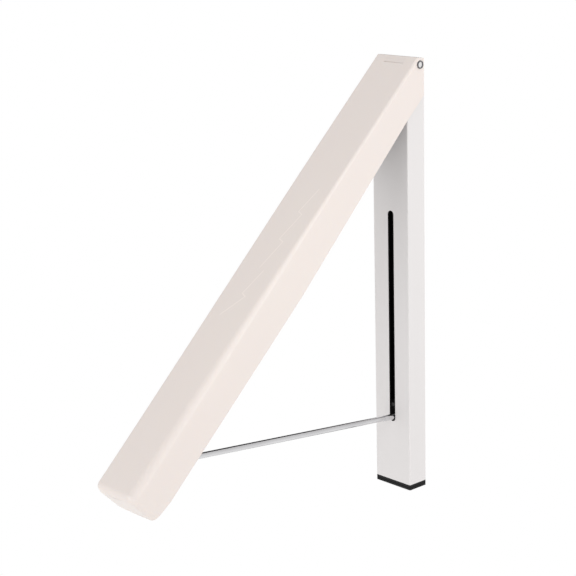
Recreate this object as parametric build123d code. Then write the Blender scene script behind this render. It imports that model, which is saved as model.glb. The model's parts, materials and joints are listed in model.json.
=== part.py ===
from build123d import *
import math
import os

# Fold-down drying rack for a wall. Millimetres, +Z up, +Y into the wall, -Y out into the room.
# Heights are measured up from the foot of the wall rail. The finished model is moved down by
# ORIGIN_HEIGHT, so its origin lies on the wall face, midway between the two hanging keyholes.

# --- wall rail: 40 x 20 rectangular aluminium tube -----------------------------------------
RAIL_WIDTH = 40.0
RAIL_DEPTH = 20.0
RAIL_WALL = 1.5
RAIL_EDGE_RADIUS = 1.0
FOOT_HEIGHT = 4.7
SLOT_WIDTH = 6.5
SLOT_BOTTOM = 58.1
SLOT_TOP = 241.9
BACK_SLOT_WIDTH = 8.0
BACK_SLOT_BOTTOM = 62.0
BACK_SLOT_TOP = 250.0
KEYHOLE_HEIGHTS = (26.0, 290.0)
KEYHOLE_RADIUS = 4.5
KEYHOLE_NECK_WIDTH = 4.6
KEYHOLE_NECK_RISE = 9.0
ORIGIN_HEIGHT = sum(KEYHOLE_HEIGHTS) / 2

# --- arm hinge -----------------------------------------------------------------------------
HINGE_Y = -10.0
HINGE_HEIGHT = 341.0
HINGE_RADIUS = 3.0
RUNNING_CLEARANCE = 0.05
OPEN_ANGLE = 46.35
FOLD_ANGLE = 45.3
RAIL_TOP_RADIUS = 10.0

# --- arm, described as it hangs straight down from the hinge axis -----------------------------
ARM_WIDTH = 47.1
ARM_WALL = 2.0
ARM_FRONT = 20.3
ARM_LENGTH = 405.0
END_LEAN = 1.0
RIM_NEAR_HINGE = 6.2
RIM_AT_MIDDLE = 13.05
RIM_TAPER_START = 23.0
RIM_TAPER_END = 196.0
HOOD_FRONT_HEIGHT = 18.8
HOOD_BACK = (-15.5, 22.8)
HINGE_CORNER = (6.5, 1.8)
FACE_EDGE_RADIUS = 3.0
END_SIDE_RADIUS = 4.0

# --- steel frame inside the arm ---------------------------------------------------------------
FRAME_SHEET = 1.2
FRAME_HALF_WIDTH = 21.4
FRAME_WEB_FACE = 14.0
FRAME_FLANGE_BACK = 1.0
FRAME_END = 388.0
FRAME_WEB_TOP = 13.0
COVER_PIN_Y = -15.1
COVER_PIN_Z = 15.9
COVER_PIN_RADIUS = 2.0
COVER_PIN_HEAD_RADIUS = 3.3

# --- hanging rod ------------------------------------------------------------------------------
ROD_RADIUS = 2.25
ROD_PIVOT_ALONG_ARM = 375.4
ROD_PIVOT_IN_FRONT = 10.0
OUTER_PIN_RADIUS = 1.75
OUTER_EYE_RADIUS = 3.2
INNER_EYE_RADIUS = 3.0
INNER_EYE_WIDTH = 4.6
SLIDER_PIVOT_Y = -15.5
SLIDER_PIVOT_HEIGHT = 61.52
STUB_RADIUS = 1.5
STUB_GAP = 0.15

# --- slider and its guides ----------------------------------------------------------------------
SLIDER_HALF_WIDTH = 9.8
SLIDER_GAP_HALF = 3.5
SLIDER_BELOW = 9.0
SLIDER_ABOVE = 12.5
TONGUE_REACH = 13.8
TONGUE_Y = (-12.4, -7.6)
GUIDE_INNER = 10.1
GUIDE_OUTER = RAIL_WIDTH / 2 - RAIL_WALL - 0.1
GUIDE_HEIGHTS = (44.0, 262.0)
SLIDER_TRAVEL = 178.5


# --- helpers --------------------------------------------------------------------------------------
def block(x_range, y_range, z_range):
    """A box given by its lowest and highest x, y and z."""
    size = [high - low for low, high in (x_range, y_range, z_range)]
    centre = [(low + high) / 2 for low, high in (x_range, y_range, z_range)]
    return Pos(*centre) * Box(*size)


def bar_along_x(radius, x_range, y, z):
    """A round bar parallel to the X axis."""
    low, high = x_range
    return Pos((low + high) / 2, y, z) * Rot(0, 90, 0) * Cylinder(radius, high - low)


def bar_along_y(radius, x, y_range, z):
    """A round bar parallel to the Y axis."""
    low, high = y_range
    return Pos(x, (low + high) / 2, z) * Rot(90, 0, 0) * Cylinder(radius, high - low)


def upright_slot(width, z_range, y_range, x=0.0):
    """A round-ended cutter that runs up Z and passes through y_range."""
    bottom, top = z_range
    radius = width / 2
    cutter = block((x - radius, x + radius), y_range, (bottom + radius, top - radius))
    cutter += bar_along_y(radius, x, y_range, bottom + radius)
    cutter += bar_along_y(radius, x, y_range, top - radius)
    return cutter


def side_profile(points, half_width):
    """A closed outline of (y, z) points, extruded across X from -half_width to half_width."""
    outline = Polyline(*[(y, z) for y, z in points], close=True)
    plane = Plane(origin=(-half_width, 0, 0), x_dir=(0, 1, 0), z_dir=(1, 0, 0))
    return extrude(plane * make_face(outline), 2 * half_width)


def mirror_x(shape):
    return mirror(shape, Plane.YZ)


def both_sides(shape):
    """The shape and its mirror image in the YZ plane, kept as separate solids."""
    return Compound(children=[*shape.solids(), *mirror_x(shape).solids()])


def group(shapes):
    return Compound(children=[solid for shape in shapes for solid in shape.solids()])


# --- where the moving bodies stand with the rack open ----------------------------------------------
ARM_PLACE = Pos(0, HINGE_Y, HINGE_HEIGHT) * Rot(-OPEN_ANGLE, 0, 0)


def arm_point(y, z):
    """Where a point of the arm, given as it hangs straight down, stands with the arm open."""
    turn = math.radians(OPEN_ANGLE)
    out = y * math.cos(turn) + z * math.sin(turn)
    up = z * math.cos(turn) - y * math.sin(turn)
    return HINGE_Y + out, HINGE_HEIGHT + up


ROD_PIVOT_Y, ROD_PIVOT_HEIGHT = arm_point(-ROD_PIVOT_IN_FRONT, -ROD_PIVOT_ALONG_ARM)
ROD_RUN = SLIDER_PIVOT_Y - ROD_PIVOT_Y
ROD_RISE = ROD_PIVOT_HEIGHT - SLIDER_PIVOT_HEIGHT
ROD_LENGTH = math.hypot(ROD_RUN, ROD_RISE)
ROD_SLOPE = math.degrees(math.atan2(ROD_RISE, ROD_RUN))
ROD_PLACE = Pos(0, ROD_PIVOT_Y, ROD_PIVOT_HEIGHT) * Rot(-ROD_SLOPE, 0, 0)


# --- wall rail and what is fixed in it ---------------------------------------------------------------
def wall_channel():
    """The rail: a tube with a slot in front for the rod, and keyholes and a slot behind."""
    half = RAIL_WIDTH / 2
    height = HINGE_HEIGHT + RAIL_TOP_RADIUS
    tube = block((-half, half), (-RAIL_DEPTH, 0), (FOOT_HEIGHT, height))
    tube = fillet(tube.edges().filter_by(Axis.Z), RAIL_EDGE_RADIUS)
    bore_half = half - RAIL_WALL
    tube -= block((-bore_half, bore_half), (RAIL_WALL - RAIL_DEPTH, -RAIL_WALL), (0, height + 1))
    above_hinge = block((-half, half), (-RAIL_DEPTH, 0), (HINGE_HEIGHT, height))
    round_top = bar_along_x(RAIL_TOP_RADIUS, (-half, half), HINGE_Y, HINGE_HEIGHT)
    tube -= above_hinge - round_top
    tube -= upright_slot(SLOT_WIDTH, (SLOT_BOTTOM, SLOT_TOP), (-RAIL_DEPTH - 1, -RAIL_DEPTH / 2))
    tube -= upright_slot(BACK_SLOT_WIDTH, (BACK_SLOT_BOTTOM, BACK_SLOT_TOP), (-RAIL_DEPTH / 2, 1))
    for height in KEYHOLE_HEIGHTS:
        tube -= bar_along_y(KEYHOLE_RADIUS, 0, (-RAIL_DEPTH / 2, 1), height)
        neck = (height, height + KEYHOLE_NECK_RISE)
        tube -= upright_slot(KEYHOLE_NECK_WIDTH, neck, (-RAIL_DEPTH / 2, 1))
    tube -= bar_along_x(HINGE_RADIUS + 0.4, (-half - 1, half + 1), HINGE_Y, HINGE_HEIGHT)
    for x, z in guide_screw_places():
        tube -= bar_along_y(1.5, x, (-RAIL_WALL - 0.1, 1), z)
    return tube


def foot_cap():
    """Plastic plug in the foot of the rail: a flange with a fine groove round it."""
    half = RAIL_WIDTH / 2
    flange = block((-half, half), (-RAIL_DEPTH, 0), (0, FOOT_HEIGHT))
    flange = fillet(flange.edges().filter_by(Axis.Z), RAIL_EDGE_RADIUS)
    groove = block((-half - 1, half + 1), (-RAIL_DEPTH - 1, 1), (2.0, 2.5))
    core = block((-half + 0.4, half - 0.4), (0.4 - RAIL_DEPTH, -0.4), (1.0, 3.5))
    flange = flange - (groove - core)
    plug_half = half - RAIL_WALL - 0.1
    plug_y = (RAIL_WALL + 0.1 - RAIL_DEPTH, -RAIL_WALL - 0.1)
    plug = block((-plug_half, plug_half), plug_y, (FOOT_HEIGHT, 13.0))
    hollow_y = (plug_y[0] + 2.0, plug_y[1] - 2.0)
    plug -= block((2.0 - plug_half, plug_half - 2.0), hollow_y, (FOOT_HEIGHT + 1, 14.0))
    return flange + plug


def hinge_block():
    """Bearing block in the top of the rail, bored for the hinge axle."""
    half = RAIL_WIDTH / 2 - RAIL_WALL - 0.1
    y_range = (RAIL_WALL + 0.1 - RAIL_DEPTH, -RAIL_WALL - 0.1)
    radius = RAIL_TOP_RADIUS - RAIL_WALL - 0.1
    body = block((-half, half), y_range, (322.0, HINGE_HEIGHT))
    body += bar_along_x(radius, (-half, half), HINGE_Y, HINGE_HEIGHT)
    body -= bar_along_x(HINGE_RADIUS + RUNNING_CLEARANCE, (-half - 1, half + 1), HINGE_Y, HINGE_HEIGHT)
    for side in (-1, 1):
        x_range = sorted((side * 4.0, side * 14.0))
        body -= block(x_range, (y_range[0] + 3.0, y_range[1] - 3.0), (321.0, 334.0))
    return body


def slide_guide():
    """One of the two upright plastic guides, with a groove for the slider's tongue."""
    y_range = (RAIL_WALL + 0.1 - RAIL_DEPTH, -RAIL_WALL - 0.1)
    guide = block((GUIDE_INNER, GUIDE_OUTER), y_range, GUIDE_HEIGHTS)
    groove_y = (TONGUE_Y[0] - 0.3, TONGUE_Y[1] + 0.3)
    guide -= block((GUIDE_INNER - 1, TONGUE_REACH + 0.4), groove_y, GUIDE_HEIGHTS)
    for x, z in guide_screw_places():
        if x > 0:
            guide -= bar_along_y(1.1, x, (-6.0, 0), z)
    return guide


def guide_screw_places():
    """Where the four small screws hold the guides to the back of the rail."""
    return [(side * 14.2, z) for side in (-1, 1) for z in (52.0, 254.0)]


def guide_screws():
    """Four pan-headed screws, put in from the back of the rail with their heads let in flush."""
    screws = []
    for x, z in guide_screw_places():
        head = bar_along_y(1.5, x, (-RAIL_WALL, -0.2), z)
        shank = bar_along_y(1.1, x, (-6.0, -RAIL_WALL), z)
        slot = block((x - 1.2, x + 1.2), (-0.7, 0), (z - 0.25, z + 0.25))
        screws.append(head + shank - slot)
    return group(screws)


def end_stop(z_range):
    """A rubber block between the guides, which stops the slider."""
    half = GUIDE_INNER - 0.2
    body = block((-half, half), (RAIL_WALL + 0.2 - RAIL_DEPTH, -RAIL_WALL - 0.2), z_range)
    return fillet(body.edges().filter_by(Axis.Y), 1.0)


# --- slider ------------------------------------------------------------------------------------------
def slider_block():
    """A fork of two cheeks, joined by a bridge above the rod, with a tongue on each side."""
    z_range = (SLIDER_PIVOT_HEIGHT - SLIDER_BELOW, SLIDER_PIVOT_HEIGHT + SLIDER_ABOVE)
    y_range = (0.2 + RAIL_WALL - RAIL_DEPTH, -RAIL_WALL - 0.4)
    half = SLIDER_HALF_WIDTH
    body = block((-half, half), y_range, z_range)
    body = fillet(body.edges().filter_by(Axis.Y), 1.2)
    body += block((-TONGUE_REACH, TONGUE_REACH), TONGUE_Y, (z_range[0] + 1, z_range[1] - 1))
    gap = block((-SLIDER_GAP_HALF, SLIDER_GAP_HALF), (-RAIL_DEPTH, 1), (0, z_range[1] - 3.0))
    behind_bridge = block((-SLIDER_GAP_HALF, SLIDER_GAP_HALF), (y_range[0] + 4.1, 1), (0, 400))
    body -= gap + behind_bridge
    body -= bar_along_x(STUB_RADIUS, (-20, 20), SLIDER_PIVOT_Y, SLIDER_PIVOT_HEIGHT)
    return body


def slider_pins():
    """Two steel stub pins in the slider's cheeks, which end just short of the rod's eye."""
    inner = INNER_EYE_WIDTH / 2 + STUB_GAP
    pin = bar_along_x(STUB_RADIUS, (inner, SLIDER_HALF_WIDTH), SLIDER_PIVOT_Y, SLIDER_PIVOT_HEIGHT)
    return both_sides(pin)


# --- hanging rod, described along +Y from its outer pivot ----------------------------------------------
def hanging_rod():
    """The polished round rod that hangers hook over."""
    return bar_along_y(ROD_RADIUS, 0, (6.0, ROD_LENGTH - 6.0), 0)


def rod_outer_eye():
    """The eye at the arm's end of the rod, with a socket that holds the rod."""
    eye = bar_along_x(OUTER_EYE_RADIUS, (-2.6, 2.6), 0, 0)
    eye += bar_along_y(2.8, 0, (1.0, 14.0), 0)
    eye -= bar_along_x(OUTER_PIN_RADIUS + RUNNING_CLEARANCE, (-5, 5), 0, 0)
    return eye - bar_along_y(ROD_RADIUS, 0, (6.0, 15.0), 0)


def rod_inner_eye():
    """The flat-sided eye at the wall end of the rod, narrow enough to pass through the slot."""
    half = INNER_EYE_WIDTH / 2
    eye = bar_along_x(INNER_EYE_RADIUS, (-half, half), ROD_LENGTH, 0)
    neck = bar_along_y(2.6, 0, (ROD_LENGTH - 16.0, ROD_LENGTH - 1.0), 0)
    flat = block((-half, half), (ROD_LENGTH - 5.0, ROD_LENGTH), (-2.6, 2.6))
    round_part = block((-5, 5), (0, ROD_LENGTH - 5.0), (-5, 5))
    eye += (neck & round_part) + (neck & flat)
    eye -= bar_along_x(STUB_RADIUS + 0.1, (-5, 5), ROD_LENGTH, 0)
    return eye - bar_along_y(ROD_RADIUS, 0, (ROD_LENGTH - 17.0, ROD_LENGTH - 6.0), 0)


# --- arm, described as it hangs straight down ---------------------------------------------------------
def arm_outline():
    """The arm's cover seen from the side: hood at the hinge, tapering rim, leaning far end."""
    return [
        (-ARM_FRONT, HOOD_FRONT_HEIGHT),
        HOOD_BACK,
        HINGE_CORNER,
        (RIM_NEAR_HINGE, -RIM_TAPER_START),
        (RIM_AT_MIDDLE, -RIM_TAPER_END),
        (RIM_AT_MIDDLE, -ARM_LENGTH + 19.0),
        (RIM_AT_MIDDLE - 1.6, -ARM_LENGTH + 6.5),
        (RIM_AT_MIDDLE - 3.5, -ARM_LENGTH + END_LEAN),
        (-ARM_FRONT, -ARM_LENGTH),
    ]


def plate_edges(body):
    """The long edges and the far edge round the front plate, but not its top edge."""
    edges = body.edges().filter_by_position(Axis.Y, -ARM_FRONT - 0.1, -ARM_FRONT + 0.1)
    return [edge for edge in edges if edge.center().Z < 0]


def plate_corner_edges(hollow, y):
    """The two long inside corners behind the front plate."""
    edges = hollow.edges().filter_by(Axis.Z)
    return edges.filter_by_position(Axis.Y, y - 0.1, y + 0.1)


def end_side_edges(body):
    """The two edges where the far end meets the side walls."""
    edges = body.edges().filter_by_position(Axis.Z, -ARM_LENGTH, -ARM_LENGTH + END_LEAN)
    return [edge for edge in edges if abs(edge.center().X) > ARM_WIDTH / 2 - 0.1]


def arm_cover():
    """The moulded cover: a front plate with side walls, a hood and a closed far end."""
    half = ARM_WIDTH / 2
    body = side_profile(arm_outline(), half)
    body = fillet(end_side_edges(body), END_SIDE_RADIUS)
    body = fillet(plate_edges(body), FACE_EDGE_RADIUS)
    front_inside = ARM_WALL - ARM_FRONT
    hollow = side_profile(
        [
            (front_inside, HOOD_FRONT_HEIGHT - 0.9),
            (front_inside + 7.1, HOOD_FRONT_HEIGHT + 5.0),
            (40, HOOD_FRONT_HEIGHT + 5.0),
            (40, ARM_WALL - ARM_LENGTH),
            (front_inside, ARM_WALL - ARM_LENGTH),
        ],
        half - ARM_WALL,
    )
    hollow = fillet(plate_corner_edges(hollow, front_inside), 0.5)
    body -= hollow
    for x, z in frame_screw_places():
        boss = bar_along_y(3.2, x, (-ARM_FRONT + 1.0, -FRAME_WEB_FACE - FRAME_SHEET), z)
        body += boss
        body -= bar_along_y(1.2, x, (-ARM_FRONT + 1.3, 0), z)
    body -= bar_along_x(COVER_PIN_RADIUS, (-half - 1, half + 1), COVER_PIN_Y, COVER_PIN_Z)
    body -= clip_recess()
    return body


def clip_recess():
    """A shallow pocket in the top of the front plate, open to the hood, for the clip."""
    return block((-12.0, 12.0), (-ARM_FRONT - 1, 1.0 - ARM_FRONT), (11.7, 40))


def top_clip():
    """A flat clip in the pocket at the top of the front plate."""
    body = block((-11.6, 11.6), (0.1 - ARM_FRONT, 1.0 - ARM_FRONT), (12.1, HOOD_FRONT_HEIGHT - 0.6))
    return fillet(body.edges().filter_by(Axis.Y), 0.8)


def arm_frame():
    """The folded steel frame under the cover: a web, two flanges and two hinge ears."""
    web_back = -FRAME_WEB_FACE
    web_front = web_back - FRAME_SHEET
    half = FRAME_HALF_WIDTH
    web = block((-half, half), (web_front, web_back), (-FRAME_END, -FRAME_WEB_TOP))
    ear_outline = [
        (-18.0, 17.0),
        (-14.8, 19.8),
        (4.6, 1.4),
        (4.6, -14.0),
        (FRAME_FLANGE_BACK, -40.0),
        (FRAME_FLANGE_BACK, -330.0),
        (web_back + 4.0, -FRAME_END),
        (web_front, -FRAME_END),
        (web_front, -FRAME_WEB_TOP),
        (-18.0, 2.0),
    ]
    sides = side_profile(ear_outline, half)
    sides -= block((FRAME_SHEET - half, half - FRAME_SHEET), (-60, 60), (-500, 60))
    frame = web + sides
    frame -= bar_along_x(HINGE_RADIUS, (-half - 1, half + 1), 0, 0)
    frame -= bar_along_x(COVER_PIN_RADIUS, (-half - 1, half + 1), COVER_PIN_Y, COVER_PIN_Z)
    for x, z in frame_screw_places():
        frame -= bar_along_y(1.5, x, (web_front - 1, web_back + 1), z)
    for x, z in bracket_screw_places():
        frame -= bar_along_y(1.2, x, (web_front - 1, web_back + 1), z)
    for z in (-110.0, -165.0, -220.0, -275.0):
        frame -= upright_slot(14.0, (z - 18.0, z + 18.0), (web_front - 1, web_back + 1))
    return frame


def hinge_axle():
    """The steel axle that the arm swings on, held in the frame's ears."""
    axle = bar_along_x(HINGE_RADIUS, (-FRAME_HALF_WIDTH, FRAME_HALF_WIDTH), 0, 0)
    return chamfer(axle.edges().filter_by(GeomType.CIRCLE), 0.3)


def cover_pin():
    """The bright cross pin at the top corner of the arm, with a hollow round head."""
    half = ARM_WIDTH / 2
    pin = bar_along_x(COVER_PIN_RADIUS, (-half, half), COVER_PIN_Y, COVER_PIN_Z)
    head = bar_along_x(COVER_PIN_HEAD_RADIUS, (half, half + 0.9), COVER_PIN_Y, COVER_PIN_Z)
    dish = bar_along_x(COVER_PIN_HEAD_RADIUS - 0.9, (half + 0.4, half + 2), COVER_PIN_Y, COVER_PIN_Z)
    return pin + head - dish


def cover_pin_cap():
    """The pressed-on head at the other end of the cross pin."""
    half = ARM_WIDTH / 2
    head = bar_along_x(COVER_PIN_HEAD_RADIUS, (-half - 0.9, -half), COVER_PIN_Y, COVER_PIN_Z)
    dish = bar_along_x(COVER_PIN_HEAD_RADIUS - 0.9, (-half - 2, -half - 0.4), COVER_PIN_Y, COVER_PIN_Z)
    return head - dish


def rod_bracket():
    """The clevis inside the far end of the arm that holds the rod's outer pin."""
    z = -ROD_PIVOT_ALONG_ARM
    web_back = -FRAME_WEB_FACE
    body = block((-9.0, 9.0), (web_back, -4.5), (z - 10.5, z + 7.5))
    body = fillet(body.edges().filter_by(Axis.X).sort_by(Axis.Y)[-2:], 2.0)
    body -= block((-3.0, 3.0), (web_back - 1, 0), (z - 5.5, z + 9.0))
    body -= bar_along_x(OUTER_PIN_RADIUS, (-10, 10), -ROD_PIVOT_IN_FRONT, z)
    for x, screw_z in bracket_screw_places():
        body -= bar_along_y(1.2, x, (web_back - 1, web_back + 3), screw_z)
    return body


def rod_pin():
    """The steel pin through the clevis and the rod's outer eye."""
    return bar_along_x(OUTER_PIN_RADIUS, (-9.0, 9.0), -ROD_PIVOT_IN_FRONT, -ROD_PIVOT_ALONG_ARM)


def bracket_screw_places():
    return [(side * 6.0, -ROD_PIVOT_ALONG_ARM + offset) for side in (-1, 1) for offset in (-7.5, 5.0)]


def bracket_screws():
    """Four short screws that hold the clevis to the frame, with flat heads under the cover."""
    web_front = -FRAME_WEB_FACE - FRAME_SHEET
    screws = []
    for x, z in bracket_screw_places():
        head = bar_along_y(2.2, x, (web_front - 1.2, web_front), z)
        shank = bar_along_y(1.2, x, (web_front, 3.0 - FRAME_WEB_FACE), z)
        screws.append(head + shank)
    return group(screws)


def frame_screw_places():
    return [(side * 14.0, z) for side in (-1, 1) for z in (-32.0, -137.0, -247.0, -345.0)]


def frame_screws():
    """Eight self-tapping screws that hold the frame to the cover's bosses."""
    screws = []
    for x, z in frame_screw_places():
        head = bar_along_y(2.6, x, (-FRAME_WEB_FACE, 1.6 - FRAME_WEB_FACE), z)
        shank = bar_along_y(1.2, x, (-ARM_FRONT + 1.3, -FRAME_WEB_FACE), z)
        cross = block((x - 1.3, x + 1.3), (0.9 - FRAME_WEB_FACE, 0), (z - 0.3, z + 0.3))
        cross += block((x - 0.3, x + 0.3), (0.9 - FRAME_WEB_FACE, 0), (z - 1.3, z + 1.3))
        screws.append(head + shank - cross)
    return group(screws)


def bumper():
    """One of the two rubber pads that meet the front of the rail when the arm is folded."""
    pad = bar_along_y(4.0, 13.0, (-FRAME_WEB_FACE, -9.5), -62.0)
    return fillet(pad.edges().sort_by(Axis.Y)[-1:], 0.8)


# --- the finished set ------------------------------------------------------------------------------
def build_nodes():
    guide = slide_guide()
    pad = bumper()
    rail_parts = {
        "wall_channel": wall_channel(),
        "foot_cap": foot_cap(),
        "hinge_block": hinge_block(),
        "slide_guide_right": guide,
        "slide_guide_left": mirror_x(guide),
        "guide_screws": guide_screws(),
        "lower_stop": end_stop((45.0, SLIDER_PIVOT_HEIGHT - SLIDER_BELOW - 0.2)),
        "upper_stop": end_stop((SLIDER_PIVOT_HEIGHT + SLIDER_ABOVE + SLIDER_TRAVEL + 0.3, 260.0)),
        "slider_block": slider_block(),
        "slider_pins": slider_pins(),
    }
    rod_parts = {
        "hanging_rod": hanging_rod(),
        "rod_outer_eye": rod_outer_eye(),
        "rod_inner_eye": rod_inner_eye(),
    }
    arm_parts = {
        "arm_cover": arm_cover(),
        "arm_frame": arm_frame(),
        "hinge_axle": hinge_axle(),
        "cover_pin": cover_pin(),
        "cover_pin_cap": cover_pin_cap(),
        "top_clip": top_clip(),
        "rod_bracket": rod_bracket(),
        "rod_pin": rod_pin(),
        "bracket_screws": bracket_screws(),
        "frame_screws": frame_screws(),
        "bumper_right": pad,
        "bumper_left": mirror_x(pad),
    }
    nodes = dict(rail_parts)
    for name, shape in rod_parts.items():
        nodes[name] = ROD_PLACE * shape
    for name, shape in arm_parts.items():
        nodes[name] = ARM_PLACE * shape
    return nodes


def write_nodes():
    os.makedirs("parts", exist_ok=True)
    for name, shape in build_nodes().items():
        moved = Pos(0, 0, -ORIGIN_HEIGHT) * shape
        solids = moved.solids()
        result = solids[0] if len(solids) == 1 else Compound(children=list(solids))
        result.label = name
        export_step(result, f"parts/{name}.step")
        print(f"{name}: {len(solids)} solid(s), {sum(s.volume for s in solids):.0f} mm3")


write_nodes()
print(f"rod length {ROD_LENGTH:.2f} mm, slope {ROD_SLOPE:.2f} degrees")
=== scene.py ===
import json
import math

import bmesh
import bpy
from mathutils import Matrix, Vector


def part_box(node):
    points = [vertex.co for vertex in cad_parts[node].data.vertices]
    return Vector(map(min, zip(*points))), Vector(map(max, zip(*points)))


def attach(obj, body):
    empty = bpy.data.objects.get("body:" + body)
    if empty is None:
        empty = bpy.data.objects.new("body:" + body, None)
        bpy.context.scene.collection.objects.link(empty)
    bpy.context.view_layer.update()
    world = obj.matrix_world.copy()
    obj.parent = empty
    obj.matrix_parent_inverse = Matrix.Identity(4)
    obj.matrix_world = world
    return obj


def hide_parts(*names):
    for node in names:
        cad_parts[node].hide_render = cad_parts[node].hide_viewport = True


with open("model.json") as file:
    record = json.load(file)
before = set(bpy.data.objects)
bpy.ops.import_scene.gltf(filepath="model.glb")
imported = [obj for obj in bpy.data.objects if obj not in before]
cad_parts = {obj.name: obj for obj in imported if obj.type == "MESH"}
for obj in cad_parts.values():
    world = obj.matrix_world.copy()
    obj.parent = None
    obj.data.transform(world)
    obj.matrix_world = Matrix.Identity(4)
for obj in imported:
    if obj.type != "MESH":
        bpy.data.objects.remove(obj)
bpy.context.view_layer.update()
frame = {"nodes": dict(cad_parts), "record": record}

MM = 0.001
JOINTS = {joint["name"]: joint for joint in frame["record"]["behaviour"]["joints"]}
HINGE = Vector(JOINTS["arm_fold"]["pos_m"])
OPEN_ANGLE = math.radians(46.35)
ARM_PLACE = Matrix.Translation(HINGE) @ Matrix.Rotation(-OPEN_ANGLE, 4, "X")

# The arm's cover, in millimetres as it hangs straight down from the hinge axis.
HALF_WIDTH = 23.55
FRONT = -20.3
LENGTH = 405.0
WALL = 2.0
SMOOTH_ANGLE = 35.0

# The hood over the hinge: its closed top, and its open back edge, which flares a little as it
# rises from the foot to the corner and slopes forwards above that.
HOOD_FRONT = 18.8
HOOD_TILT = 4.0 / 4.8
HOOD_FOOT_Z = -22.4
HOOD_FOOT_Y = 6.2
HOOD_RISE = 24.2
HOOD_FLARE = 0.3
HOOD_CORNER_Y = 6.5
HOOD_CORNER_Z = 1.8
HOOD_SLOPE = 21.0 / 22.0

# The open edge below the hood, as (height, y).
RIM = [
    (HOOD_FOOT_Z, HOOD_FOOT_Y),
    (-23.0, HOOD_FOOT_Y),
    (-196.0, 13.05),
    (-386.0, 13.05),
    (-398.5, 11.4),
    (-LENGTH, 9.6),
]

# The long front edges and the far end.
EDGE_RADIUS_AT_HINGE = 2.4
EDGE_RADIUS_GROWTH = 4.6
EDGE_RADIUS_FROM = 60.0
EDGE_RADIUS_TO = 395.0
END_LEAN = 0.6
END_CROWN = 0.4
END_DEPTH = 29.9
END_BLEND = 24.0
END_SIDE_ROUND = 3.8
END_FRONT_ROUND = 5.8
END_ROUND_REACH = 6.3
END_ROUND_MARGIN = 0.3
FAR_FROM_END = 400.0

# Points round one section of the cover.
SIDE_STEPS = 6
CORNER_STEPS = 8
FRONT_STEPS = 10
HALF_SECTION = SIDE_STEPS + CORNER_STEPS + 1
PLATE_COLUMNS = 8

# The clip's pocket in the front plate, and the cross pin's head.
POCKET_SIZE = (22.0, 2.0, 5.6)
POCKET_FOOT_Z = 11.7
PIN_Y = -15.1
PIN_Z = 15.9
PIN_DISH_RADIUS = 2.35

# The rail's front slot, with a margin, whose cut edge gets painted shade: its half width and wall
# in mm, its ends in metres.
SLOT_HALF_WIDTH = 3.4
SLOT_WALL = (0.05, 1.45)
SLOT_ENDS = (-0.102, 0.086)


# --- materials ---
class Shader:
    """A small helper that builds one node material."""

    def __init__(self, name, colour, roughness, metallic=0.0):
        self.material = bpy.data.materials.new(name)
        self.material.use_nodes = True
        self.tree = self.material.node_tree
        self.bsdf = self.tree.nodes["Principled BSDF"]
        self.bsdf.inputs["Base Color"].default_value = (*colour, 1)
        self.bsdf.inputs["Roughness"].default_value = roughness
        self.bsdf.inputs["Metallic"].default_value = metallic
        self.coords = self.tree.nodes.new("ShaderNodeTexCoord").outputs["Object"]
        self.height = None

    def link(self, output, target):
        self.tree.links.new(output, target)

    def scaled(self, scale):
        mapping = self.tree.nodes.new("ShaderNodeMapping")
        mapping.inputs["Scale"].default_value = scale
        self.link(self.coords, mapping.inputs["Vector"])
        return mapping.outputs["Vector"]

    def noise(self, scale, detail=4.0, roughness=0.5, stretch=(1, 1, 1)):
        node = self.tree.nodes.new("ShaderNodeTexNoise")
        node.inputs["Scale"].default_value = scale
        node.inputs["Detail"].default_value = detail
        node.inputs["Roughness"].default_value = roughness
        self.link(self.scaled(stretch), node.inputs["Vector"])
        return node.outputs["Fac"]

    def speckle(self, scale):
        node = self.tree.nodes.new("ShaderNodeTexVoronoi")
        node.inputs["Scale"].default_value = scale
        self.link(self.coords, node.inputs["Vector"])
        return node.outputs["Distance"]

    def map_range(self, value, low, high):
        """Spreads the middle half of a noise's values over a range."""
        node = self.tree.nodes.new("ShaderNodeMapRange")
        node.inputs["From Min"].default_value = 0.25
        node.inputs["From Max"].default_value = 0.75
        node.inputs["To Min"].default_value = low
        node.inputs["To Max"].default_value = high
        self.link(value, node.inputs["Value"])
        return node.outputs["Result"]

    def vary_colour(self, value, first, second, low_in=0.3, high_in=0.7):
        ramp = self.tree.nodes.new("ShaderNodeValToRGB")
        ramp.color_ramp.elements[0].position = low_in
        ramp.color_ramp.elements[1].position = high_in
        ramp.color_ramp.elements[0].color = (*first, 1)
        ramp.color_ramp.elements[1].color = (*second, 1)
        self.link(value, ramp.inputs["Fac"])
        self.link(ramp.outputs["Color"], self.bsdf.inputs["Base Color"])

    def vary_roughness(self, value, low, high):
        self.link(self.map_range(value, low, high), self.bsdf.inputs["Roughness"])

    def bump(self, value, strength, distance):
        node = self.tree.nodes.new("ShaderNodeBump")
        node.inputs["Strength"].default_value = strength
        node.inputs["Distance"].default_value = distance
        self.link(value, node.inputs["Height"])
        if self.height is not None:
            self.link(self.height, node.inputs["Normal"])
        self.height = node.outputs["Normal"]
        self.link(self.height, self.bsdf.inputs["Normal"])


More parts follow.
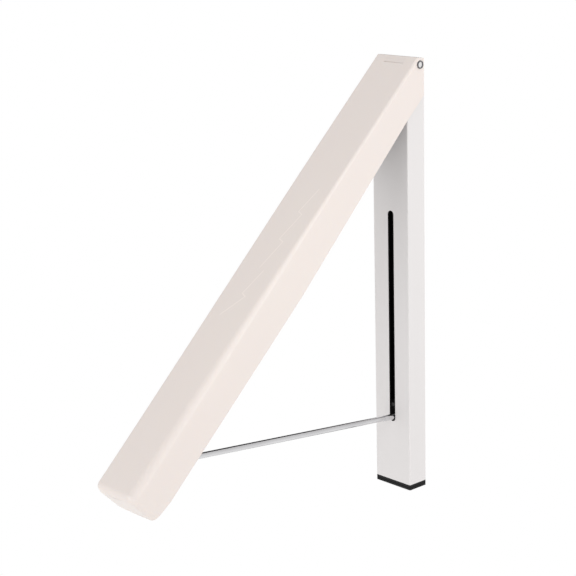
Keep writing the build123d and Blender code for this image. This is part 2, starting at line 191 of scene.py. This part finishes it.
def cover_plastic(name="cover_plastic", tint=1.0):
    """Warm ivory moulded plastic: semi gloss, faint flow marks and a very fine grain."""
    shader = Shader(name, (0.80, 0.74, 0.69), 0.34)
    warm = tuple(c * tint for c in (0.815, 0.745, 0.702))
    cool = tuple(c * tint for c in (0.802, 0.730, 0.694))
    shader.vary_colour(shader.noise(14.0, 3.0, 0.5, (1.0, 0.6, 0.6)), cool, warm)
    shader.vary_roughness(shader.noise(90.0, 5.0, 0.6), 0.28, 0.38)
    shader.bump(shader.noise(28.0, 2.0, 0.4), 0.05, 0.0006)
    shader.bump(shader.noise(1400.0, 2.0, 0.5), 0.03, 0.00005)
    shader.bsdf.inputs["Coat Weight"].default_value = 0.15
    shader.bsdf.inputs["Coat Roughness"].default_value = 0.25
    shader.bsdf.inputs["Subsurface Weight"].default_value = 0.06
    shader.bsdf.inputs["Subsurface Radius"].default_value = (0.004, 0.003, 0.002)
    return shader.material


def rail_paint():
    """Cool off-white powder coat on aluminium, with a fine orange peel."""
    shader = Shader("rail_paint", (0.76, 0.745, 0.74), 0.42)
    shader.vary_colour(shader.noise(9.0, 3.0), (0.745, 0.722, 0.718), (0.762, 0.740, 0.738))
    shader.vary_roughness(shader.noise(240.0, 4.0), 0.36, 0.47)
    shader.bump(shader.noise(900.0, 3.0, 0.55), 0.10, 0.00012)
    shader.bump(shader.speckle(2200.0), 0.04, 0.00005)
    shader.bsdf.inputs["Coat Weight"].default_value = 0.10
    shader.bsdf.inputs["Coat Roughness"].default_value = 0.22
    return shader.material


def black_plastic():
    """Moulded black nylon with a fine spark grain and lighter scuffs."""
    shader = Shader("black_plastic", (0.012, 0.012, 0.013), 0.45)
    scuffs = shader.noise(60.0, 6.0, 0.65)
    shader.vary_colour(scuffs, (0.003, 0.003, 0.0035), (0.008, 0.008, 0.0085))
    shader.vary_roughness(shader.noise(300.0, 4.0), 0.36, 0.58)
    shader.bump(shader.speckle(1800.0), 0.25, 0.00010)
    shader.bsdf.inputs["Specular IOR Level"].default_value = 0.22
    return shader.material


def grey_acetal():
    """Slippery dark grey bearing plastic, faintly streaked where it slides."""
    shader = Shader("grey_acetal", (0.06, 0.06, 0.065), 0.35)
    streaks = shader.noise(160.0, 4.0, 0.6, (1.0, 1.0, 0.08))
    shader.vary_colour(streaks, (0.010, 0.010, 0.011), (0.018, 0.018, 0.019))
    shader.vary_roughness(streaks, 0.26, 0.44)
    shader.bump(streaks, 0.10, 0.00008)
    shader.bsdf.inputs["Specular IOR Level"].default_value = 0.30
    return shader.material


def black_rubber():
    """Matt rubber with a dusty bloom."""
    shader = Shader("black_rubber", (0.02, 0.02, 0.02), 0.85)
    shader.vary_colour(shader.noise(120.0, 6.0, 0.7), (0.016, 0.016, 0.016), (0.042, 0.041, 0.040))
    shader.vary_roughness(shader.noise(400.0, 4.0), 0.75, 0.95)
    shader.bump(shader.noise(1500.0, 4.0, 0.6), 0.30, 0.00012)
    return shader.material


def sheet_steel():
    """Zinc-plated pressed sheet: rolling streaks and a mottled spangle."""
    shader = Shader("frame_steel", (0.55, 0.56, 0.57), 0.38, 1.0)
    shader.vary_colour(shader.speckle(90.0), (0.50, 0.51, 0.525), (0.64, 0.645, 0.65), 0.1, 0.8)
    streaks = shader.noise(420.0, 4.0, 0.6, (1.0, 0.05, 0.05))
    shader.vary_roughness(streaks, 0.30, 0.48)
    shader.bump(streaks, 0.08, 0.00006)
    return shader.material


def screw_steel():
    """Bright zinc on small screws and pins, with turning marks."""
    shader = Shader("screw_steel", (0.60, 0.60, 0.61), 0.30, 1.0)
    shader.vary_colour(shader.noise(220.0, 4.0), (0.52, 0.52, 0.53), (0.68, 0.68, 0.69))
    shader.vary_roughness(shader.noise(1200.0, 3.0), 0.22, 0.40)
    shader.bump(shader.noise(3000.0, 2.0), 0.10, 0.00004)
    return shader.material


def polished_rod():
    """Polished steel rod with drawn lines along its length and light handling marks."""
    shader = Shader("rod_chrome", (0.74, 0.745, 0.76), 0.12, 1.0)
    drawn = shader.noise(1500.0, 3.0, 0.6, (1.0, 0.012, 1.0))
    shader.vary_colour(shader.noise(24.0, 3.0), (0.70, 0.70, 0.715), (0.78, 0.78, 0.795))
    shader.vary_roughness(drawn, 0.05, 0.12)
    shader.bump(drawn, 0.05, 0.00003)
    shader.bsdf.inputs["Anisotropic"].default_value = 0.35
    return shader.material


def pin_chrome():
    """Bright nickel plating on the cross pin's heads."""
    shader = Shader("pin_chrome", (0.80, 0.80, 0.81), 0.10, 1.0)
    shader.vary_colour(shader.noise(500.0, 3.0), (0.90, 0.90, 0.90), (0.97, 0.97, 0.97))
    shader.vary_roughness(shader.noise(900.0, 3.0), 0.06, 0.16)
    shader.bump(shader.noise(1600.0, 2.0), 0.04, 0.00003)
    return shader.material


def pin_rim_painted_reflection():
    """Nickel on the rolled rim of the cross pin's heads, coloured dark: a painted dark reflection
    on the rim.
    """
    shader = Shader("pin_rim_painted_reflection", (0.16, 0.16, 0.17), 0.22, 1.0)
    # These dark colours are a painted reflection of dark surroundings on the rim, not the
    # plating's own tone.
    shader.vary_colour(shader.noise(700.0, 3.0), (0.11, 0.11, 0.12), (0.24, 0.24, 0.25))
    shader.vary_roughness(shader.noise(900.0, 3.0), 0.16, 0.30)
    shader.bump(shader.noise(1600.0, 2.0), 0.05, 0.00003)
    return shader.material


MATERIALS = {
    "cover_plastic": cover_plastic(),
    "clip_plastic": cover_plastic("clip_plastic", 0.975),
    "rail_paint": rail_paint(),
    "black_plastic": black_plastic(),
    "grey_acetal": grey_acetal(),
    "black_rubber": black_rubber(),
    "frame_steel": sheet_steel(),
    "screw_steel": screw_steel(),
    "rod_chrome": polished_rod(),
    "pin_chrome": pin_chrome(),
}


def dress_cad_nodes():
    """Gives every CAD node the material named by its slot in the record."""
    for entry in frame["record"]["subparts"]:
        node = frame["nodes"][entry["node"]]
        node.data.materials.clear()
        node.data.materials.append(MATERIALS[entry["material_slot"]])


def dress_pin_heads():
    """Gives the rolled rim of each pin head its painted dark reflection, and leaves the dish
    bright.
    """
    axis = ARM_PLACE @ Vector((0.0, PIN_Y * MM, PIN_Z * MM))
    rim = pin_rim_painted_reflection()
    for name in ("cover_pin", "cover_pin_cap"):
        mesh = frame["nodes"][name].data
        mesh.materials.append(rim)
        for polygon in mesh.polygons:
            centre = polygon.center
            reach = math.hypot(centre.y - axis.y, centre.z - axis.z)
            outside = abs(centre.x) > (HALF_WIDTH + 0.02) * MM
            # Rim faces get the painted dark reflection; the dish keeps the bright plating.
            polygon.material_index = 1 if outside and reach > PIN_DISH_RADIUS * MM else 0


def paint_slot_edge_shade():
    """Colours the cut edge of the rail's front slot black: painted shade for the dark inside of
    the slot.
    """
    mesh = frame["nodes"]["wall_channel"].data
    mesh.materials.append(MATERIALS["black_plastic"])
    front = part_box("wall_channel")[0].y
    for polygon in mesh.polygons:
        centre = polygon.center
        in_wall = front + SLOT_WALL[0] * MM < centre.y < front + SLOT_WALL[1] * MM
        in_slot = abs(centre.x) < SLOT_HALF_WIDTH * MM and SLOT_ENDS[0] < centre.z < SLOT_ENDS[1]
        # Painted shade: faces on the slot's cut edge go black to stand for the shade inside the
        # slot.
        if in_wall and in_slot:
            polygon.material_index = 1


# --- mesh helpers ---
def finish_piece(name, mesh_builder, slot_name, body, smooth_angle=SMOOTH_ANGLE):
    """Turns a bmesh in arm millimetres into an object in the row frame, riding on its body."""
    mesh = bpy.data.meshes.new(name)
    bmesh.ops.recalc_face_normals(mesh_builder, faces=mesh_builder.faces)
    mesh_builder.to_mesh(mesh)
    mesh_builder.free()
    mesh.transform(ARM_PLACE @ Matrix.Scale(MM, 4))
    piece = bpy.data.objects.new(name, mesh)
    bpy.context.scene.collection.objects.link(piece)
    mesh.materials.append(MATERIALS[slot_name])
    shade(mesh, smooth_angle)
    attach(piece, body)
    return piece


def shade(mesh, angle):
    """Keeps edges sharper than the angle crisp and lets the rest shade smoothly."""
    for polygon in mesh.polygons:
        polygon.use_smooth = True
    work = bmesh.new()
    work.from_mesh(mesh)
    for edge in work.edges:
        if len(edge.link_faces) == 2 and edge.calc_face_angle() > math.radians(angle):
            edge.smooth = False
    work.to_mesh(mesh)
    work.free()


def interpolate(points, at):
    """Straight-line interpolation in a list of (position, value), positions falling."""
    for (z0, v0), (z1, v1) in zip(points, points[1:]):
        if z1 <= at <= z0:
            return v0 + (v1 - v0) * (z0 - at) / max(z0 - z1, 1e-9)
    return points[0][1] if at > points[0][0] else points[-1][1]


def smooth_step(low, high, value):
    """Rises from 0 to 1 between low and high, level at both ends."""
    t = min(max((value - low) / (high - low), 0.0), 1.0)
    return t * t * (3 - 2 * t)


# --- the arm's cover ---
def edge_radius(z):
    """The long front edges are tight at the hinge and grow softer towards the far end."""
    grown = smooth_step(EDGE_RADIUS_FROM, EDGE_RADIUS_TO, -z)
    return EDGE_RADIUS_AT_HINGE + EDGE_RADIUS_GROWTH * grown


def round_in(distance, radius):
    """How far a rounded corner has drawn in at this distance from the end."""
    if distance >= radius:
        return 0.0
    return radius - math.sqrt(max(radius * radius - (radius - distance) ** 2, 0.0))


def end_shift(x, y):
    """How far a point of the far end stands off square: a lean to the back, a crown across."""
    return END_LEAN * (y - FRONT) / END_DEPTH + END_CROWN * (x / HALF_WIDTH) ** 2


def back_y(z):
    """The cover's open edge: hood at the top, then a straight taper, then the turned-in end."""
    if z > HOOD_FOOT_Z:
        return HOOD_FOOT_Y + HOOD_FLARE * (z - HOOD_FOOT_Z) / HOOD_RISE
    return interpolate(RIM, z)


def hood_edge(z, tilt):
    """Where a tilted section meets the hood's sloping back edge."""
    across = HOOD_CORNER_Z + HOOD_CORNER_Y * HOOD_SLOPE - z + FRONT * tilt
    return across / (tilt + HOOD_SLOPE)


def section(z, tilt, inset, distance):
    """One U-shaped section: points from the left rim, round the front, to the right rim."""
    half = HALF_WIDTH - inset - round_in(distance, END_SIDE_ROUND - 0.6 * inset)
    front = FRONT + inset + round_in(distance, END_FRONT_ROUND - 0.9 * inset)
    radius = max(edge_radius(z) - inset, 0.5)
    rim = hood_edge(z, tilt) if z > HOOD_CORNER_Z else back_y(z)
    depth = rim - front - radius
    points = [(-half, rim - depth * step / SIDE_STEPS) for step in range(SIDE_STEPS)]
    for step in range(CORNER_STEPS + 1):
        turn = math.radians(90.0 * step / CORNER_STEPS)
        x = -half + radius - radius * math.cos(turn)
        points.append((x, front + radius - radius * math.sin(turn)))
    flat = half - radius
    points += [(-flat + 2 * flat * step / FRONT_STEPS, front) for step in range(1, FRONT_STEPS)]
    points += [(-x, y) for x, y in reversed(points[:HALF_SECTION])]
    return points


def loft(work, stations, inset):
    """Rings of vertices along the arm. Returns the rings, from the hinge to the far end."""
    rings = []
    for z, tilt, distance in stations:
        ring = []
        for x, y in section(z, tilt, inset, distance):
            shift = end_shift(x, y) * smooth_step(-END_BLEND, 0.0, -distance)
            ring.append(work.verts.new((x, y, z + shift + tilt * (y - FRONT))))
        rings.append(ring)
    for first, second in zip(rings, rings[1:]):
        for i in range(len(first) - 1):
            work.faces.new((first[i], first[i + 1], second[i + 1], second[i]))
    return rings


def end_plate(work, ring, crown_height):
    """Closes one end with rows of faces between the two sides of a ring."""
    half = len(ring) // 2
    left = ring[:half]
    right = list(reversed(ring[-half:]))
    grid = []
    for a, b in zip(left, right):
        row = [a]
        for step in range(1, PLATE_COLUMNS):
            t = step / PLATE_COLUMNS
            point = a.co.lerp(b.co, t)
            crown = crown_height * (a.co.x / HALF_WIDTH) ** 2 * 4 * t * (1 - t)
            row.append(work.verts.new((point.x, point.y, point.z - crown)))
        row.append(b)
        grid.append(row)
    for first, second in zip(grid, grid[1:]):
        for i in range(PLATE_COLUMNS):
            work.faces.new((first[i], first[i + 1], second[i + 1], second[i]))
    work.faces.new(grid[-1] + [ring[half]])
    return grid[0]


def stations(inset):
    """The sections, closer together where the shape changes, as (height, tilt, end distance)."""
    end = -LENGTH + inset
    top = HOOD_FRONT - 1.28 * inset
    hood = [(1.0, 1.0), (0.92, 0.85), (0.80, 0.6), (0.65, 0.35), (0.50, 0.15), (0.32, 0.0)]
    result = [(rise * top, lean * HOOD_TILT, FAR_FROM_END) for rise, lean in hood]
    heights = [HOOD_CORNER_Z, 0.0, -8.0, -16.0, HOOD_FOOT_Z, -30.0]
    heights += [-45.0 - step * 15.0 for step in range(22)]
    heights += [-368.0, -376.0, -383.0, -387.0, -391.0, -394.0]
    heights = [z for z in heights if z > end + END_ROUND_REACH + END_ROUND_MARGIN]
    for step in range(9, -1, -1):
        heights.append(end + END_ROUND_REACH * (1 - math.cos(math.radians(90 * step / 9))))
    result += [(z, 0.0, z - end) for z in heights]
    return result


def arm_shell():
    """The moulded cover: outer skin, inner skin, the open edge between them and the far end."""
    work = bmesh.new()
    outer = loft(work, stations(0.0), 0.0)
    inner = loft(work, stations(WALL), WALL)
    outer_end = end_plate(work, outer[-1], END_CROWN)
    inner_end = end_plate(work, inner[-1], END_CROWN)
    outer_top = end_plate(work, outer[0], 0.0)
    inner_top = end_plate(work, inner[0], 0.0)
    bridge_edges(work, open_edge(outer, outer_end), open_edge(inner, inner_end))
    bridge_edges(work, outer_top, inner_top)
    bmesh.ops.remove_doubles(work, verts=work.verts, dist=0.001)
    return work


def open_edge(rings, end_row):
    """The open edge of one skin: down the left side, across the far end and up the right."""
    left = [ring[0] for ring in rings]
    right = [ring[-1] for ring in reversed(rings)]
    return left + end_row[1:-1] + right


def bridge_edges(work, first, second):
    """Joins two rows of vertices that may differ in number, walking both by length."""
    def lengths(row):
        total = [0.0]
        for a, b in zip(row, row[1:]):
            total.append(total[-1] + (a.co - b.co).length)
        return [value / total[-1] for value in total]
    first_at = lengths(first)
    second_at = lengths(second)
    i = j = 0
    while i < len(first) - 1 or j < len(second) - 1:
        step_first = j == len(second) - 1
        if i < len(first) - 1 and j < len(second) - 1:
            step_first = first_at[i + 1] <= second_at[j + 1]
        if step_first:
            work.faces.new((first[i], first[i + 1], second[j]))
            i += 1
        else:
            work.faces.new((first[i], second[j + 1], second[j]))
            j += 1


def cut_clip_pocket(shell):
    """Cuts the clip's shallow pocket in the top of the front plate."""
    work = bmesh.new()
    bmesh.ops.create_cube(work, size=1.0)
    bmesh.ops.scale(work, verts=work.verts, vec=POCKET_SIZE)
    middle = (0.0, FRONT, POCKET_FOOT_Z + POCKET_SIZE[2] / 2)
    bmesh.ops.translate(work, verts=work.verts, vec=middle)
    mesh = bpy.data.meshes.new("pocket_cutter")
    work.to_mesh(mesh)
    work.free()
    mesh.transform(ARM_PLACE @ Matrix.Scale(MM, 4))
    cutter = bpy.data.objects.new("pocket_cutter", mesh)
    bpy.context.scene.collection.objects.link(cutter)
    modifier = shell.modifiers.new("pocket", "BOOLEAN")
    modifier.operation = "DIFFERENCE"
    modifier.solver = "EXACT"
    modifier.object = cutter
    bpy.context.view_layer.update()
    graph = bpy.context.evaluated_depsgraph_get()
    result = bpy.data.meshes.new_from_object(shell.evaluated_get(graph))
    shell.modifiers.clear()
    shell.data = result
    shade(result, SMOOTH_ANGLE)
    bpy.data.objects.remove(cutter)


# --- the faint line motif on the front plate ---
def line_motif():
    """Two thin zigzags of raised line on the front plate, given a lighter copy of the plate's
    plastic below: a painted highlight.
    """
    work = bmesh.new()
    first = [(9.5, -118), (3.5, -141), (8.5, -143), (2.0, -168), (7.5, -170), (1.0, -196)]
    second = [(7.0, -198), (0.5, -221), (5.5, -223), (-8.0, -243)]
    for line in (first, second):
        for (x0, z0), (x1, z1) in zip(line, line[1:]):
            ridge(work, Vector((x0, z0)), Vector((x1, z1)), half_width=0.42, height=0.07)
    return work


def ridge(work, start, end, half_width, height):
    """One low ridge with a rounded top, lying on the front plate between two (x, z) points."""
    along = (end - start).normalized()
    across = Vector((-along.y, along.x))
    shape = [(-1.0, 0.0), (-0.5, 0.8), (0.0, 1.0), (0.5, 0.8), (1.0, 0.0)]
    profile = [(share * half_width, lift) for share, lift in shape]
    rows = []
    for point, reach in ((start, -0.2), (end, 0.2)):
        row = []
        for offset, lift in profile:
            place = point + along * reach + across * offset
            row.append(work.verts.new((place.x, FRONT + 0.02 - height * lift, place.y)))
        base = point + along * reach
        row.append(work.verts.new((base.x, FRONT + 0.3, base.y)))
        rows.append(row)
    count = len(rows[0])
    for i in range(count):
        k = (i + 1) % count
        work.faces.new((rows[0][i], rows[0][k], rows[1][k], rows[1][i]))
    work.faces.new(rows[0])
    work.faces.new(list(reversed(rows[1])))


# --- studio ---
def camera_sees(tree, lit, seen, output):
    """Shows one shader to the camera and the other to every other ray."""
    rays = tree.nodes.new("ShaderNodeLightPath")
    mix = tree.nodes.new("ShaderNodeMixShader")
    tree.links.new(rays.outputs["Is Camera Ray"], mix.inputs["Fac"])
    tree.links.new(lit.outputs[0], mix.inputs[1])
    tree.links.new(seen.outputs[0], mix.inputs[2])
    tree.links.new(mix.outputs[0], output.inputs["Surface"])


def studio_floor():
    """A plain floor well below the rack: white to the camera, unseen by light and reflections."""
    mesh = bpy.data.meshes.new("floor")
    mesh.from_pydata([(-60, -60, 0), (60, -60, 0), (60, 60, 0), (-60, 60, 0)], [], [(0, 1, 2, 3)])
    floor = bpy.data.objects.new("floor", mesh)
    floor.location = (0, 0, -1.8)
    bpy.context.scene.collection.objects.link(floor)
    material = bpy.data.materials.new("floor_paper")
    material.use_nodes = True
    tree = material.node_tree
    tree.nodes.clear()
    output = tree.nodes.new("ShaderNodeOutputMaterial")
    paper = tree.nodes.new("ShaderNodeBsdfDiffuse")
    paper.inputs["Color"].default_value = (0.80, 0.79, 0.78, 1)
    glow = tree.nodes.new("ShaderNodeEmission")
    glow.inputs["Color"].default_value = (1, 1, 1, 1)
    camera_sees(tree, paper, glow, output)
    mesh.materials.append(material)
    floor.visible_diffuse = False
    floor.visible_glossy = False
    floor.visible_shadow = False


def studio_world(low, high):
    """White to the camera; as light, stronger from below (low) than from above (high)."""
    world = bpy.data.worlds.new("studio")
    bpy.context.scene.world = world
    world.use_nodes = True
    tree = world.node_tree
    tree.nodes.clear()
    output = tree.nodes.new("ShaderNodeOutputWorld")
    seen = tree.nodes.new("ShaderNodeBackground")
    seen.inputs["Color"].default_value = (1, 1, 1, 1)
    lit = tree.nodes.new("ShaderNodeBackground")
    lit.inputs["Color"].default_value = (1.0, 0.995, 0.99, 1)
    direction = tree.nodes.new("ShaderNodeTexCoord")
    split = tree.nodes.new("ShaderNodeSeparateXYZ")
    tree.links.new(direction.outputs["Generated"], split.inputs[0])
    ramp = tree.nodes.new("ShaderNodeMapRange")
    ramp.inputs["From Min"].default_value = -0.6
    ramp.inputs["From Max"].default_value = 1.0
    ramp.inputs["To Min"].default_value = low
    ramp.inputs["To Max"].default_value = high
    tree.links.new(split.outputs["Z"], ramp.inputs["Value"])
    tree.links.new(ramp.outputs["Result"], lit.inputs["Strength"])
    camera_sees(tree, lit, seen, output)


def area_light(name, place, target, size, power):
    """A rectangular lamp turned towards its target."""
    data = bpy.data.lights.new(name, "AREA")
    data.shape = "RECTANGLE"
    data.size, data.size_y = size
    data.energy = power
    light = bpy.data.objects.new(name, data)
    light.location = place
    light.rotation_euler = (Vector(target) - Vector(place)).to_track_quat("-Z", "Y").to_euler()
    bpy.context.scene.collection.objects.link(light)


def dark_card(name, centre, target, size):
    """A dark panel seen only in reflections, which puts grey streaks on polished metal."""
    mesh = bpy.data.meshes.new(name)
    half_x, half_y = size[0] / 2, size[1] / 2
    signs = [(-1, -1), (1, -1), (1, 1), (-1, 1)]
    corners = [(x * half_x, y * half_y, 0) for x, y in signs]
    mesh.from_pydata(corners, [], [(0, 1, 2, 3)])
    card = bpy.data.objects.new(name, mesh)
    card.location = centre
    card.rotation_euler = (Vector(target) - Vector(centre)).to_track_quat("Z", "Y").to_euler()
    bpy.context.scene.collection.objects.link(card)
    material = bpy.data.materials.new(name)
    material.use_nodes = True
    bsdf = material.node_tree.nodes["Principled BSDF"]
    bsdf.inputs["Base Color"].default_value = (0.01, 0.01, 0.012, 1)
    bsdf.inputs["Roughness"].default_value = 1.0
    bsdf.inputs["Specular IOR Level"].default_value = 0.0
    mesh.materials.append(material)
    card.visible_camera = False
    card.visible_diffuse = False
    card.visible_shadow = False
    card.visible_transmission = False


def studio_camera():
    """The viewing angle: to the right of the rack, a little above it, with a long lens."""
    data = bpy.data.cameras.new("camera")
    data.sensor_width = 36.0
    data.lens = 100.72
    data.clip_end = 200.0
    camera = bpy.data.objects.new("camera", data)
    right = Vector((0.67212462, 0.74000182, -0.02541276))
    up = Vector((-0.16816448, 0.18598392, 0.96805511))
    back = Vector((0.7210889, -0.64638015, 0.24944639))
    turn = Matrix((right, up, back)).transposed().to_4x4()
    camera.matrix_world = Matrix.Translation((0.91546, -0.95682, 0.35671)) @ turn
    bpy.context.scene.collection.objects.link(camera)
    bpy.context.scene.camera = camera


def studio():
    """Floor, surroundings, three lamps, two cards for reflections, and the camera."""
    studio_floor()
    studio_world(low=0.92, high=0.64)
    area_light("key", (1.05, 0.05, 0.30), (0.0, -0.10, 0.05), (0.7, 0.7), 3.1)
    area_light("fill", (-0.2, -1.8, -0.15), (0.0, -0.1, 0.0), (1.4, 1.0), 6.5)
    area_light("edge", (0.95, -0.60, 1.10), (0.0, -0.16, 0.04), (0.25, 0.6), 2.2)
    dark_card("card_above", (-0.55, 0.75, 0.50), (0, -0.15, -0.08), (1.3, 1.6))
    dark_card("card_below", (-0.23, 0.24, -0.48), (0, -0.15, -0.08), (0.8, 0.16))
    studio_camera()
    scene = bpy.context.scene
    scene.view_settings.view_transform = "Standard"
    scene.view_settings.look = "None"
    scene.view_settings.exposure = 0.0
    scene.view_settings.gamma = 1.0


dress_cad_nodes()
dress_pin_heads()
paint_slot_edge_shade()
shell = finish_piece("arm_shell", arm_shell(), "cover_plastic", "arm")
cut_clip_pocket(shell)
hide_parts("arm_cover")
motif = finish_piece("line_motif", line_motif(), "cover_plastic", "arm", 60.0)
# The lines' plastic is 1.12 times lighter than the cover's: a painted highlight along the lines.
motif.data.materials[0] = cover_plastic("line_highlight_plastic", 1.12)
studio()
